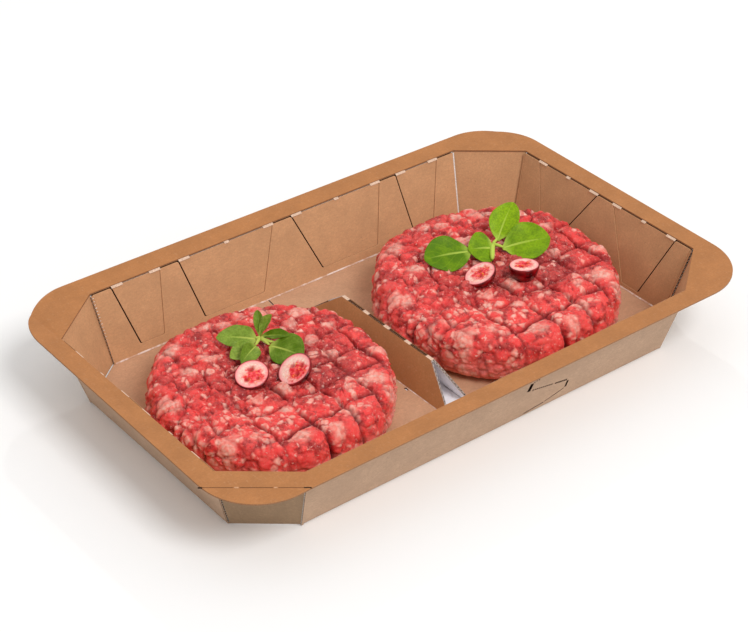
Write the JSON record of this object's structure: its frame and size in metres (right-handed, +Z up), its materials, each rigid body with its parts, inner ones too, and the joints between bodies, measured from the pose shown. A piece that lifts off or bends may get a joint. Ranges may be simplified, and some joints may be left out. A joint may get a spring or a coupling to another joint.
{
  "type": "burger tray",
  "caption": "Folded corrugated card tray with a flat rim and raised divider, holding raw beef patties topped with leafy sprigs and halved berries.",
  "frame": {"origin": "centre of the bounding box at the underside of the tray floor, which stands on z = 0", "axes": "+X along the tray's long side, +Y across it, +Z up; the rim corner with the creased tab is at -X -Y"},
  "size_m": [0.27, 0.17, 0.034],
  "materials": {
    "kraft_wall": "matte kraft, fine flutes at the cut edges",
    "kraft_rim": "smooth matte kraft liner",
    "raw_beef": "wet ground meat with pale fat",
    "leaf_green": "soft satin leaf",
    "berry": "glossy skin, pale juicy cut face"
  },
  "bodies": {
    "root": {"tray_body": "kraft_wall", "rim_frame": "kraft_rim", "patty_left": "raw_beef", "patty_right": "raw_beef", "sprig_left": "leaf_green", "sprig_right": "leaf_green", "berry_left_near": "berry", "berry_left_far": "berry", "berry_right_near": "berry", "berry_right_far": "berry"}
  },
  "joints": []
}
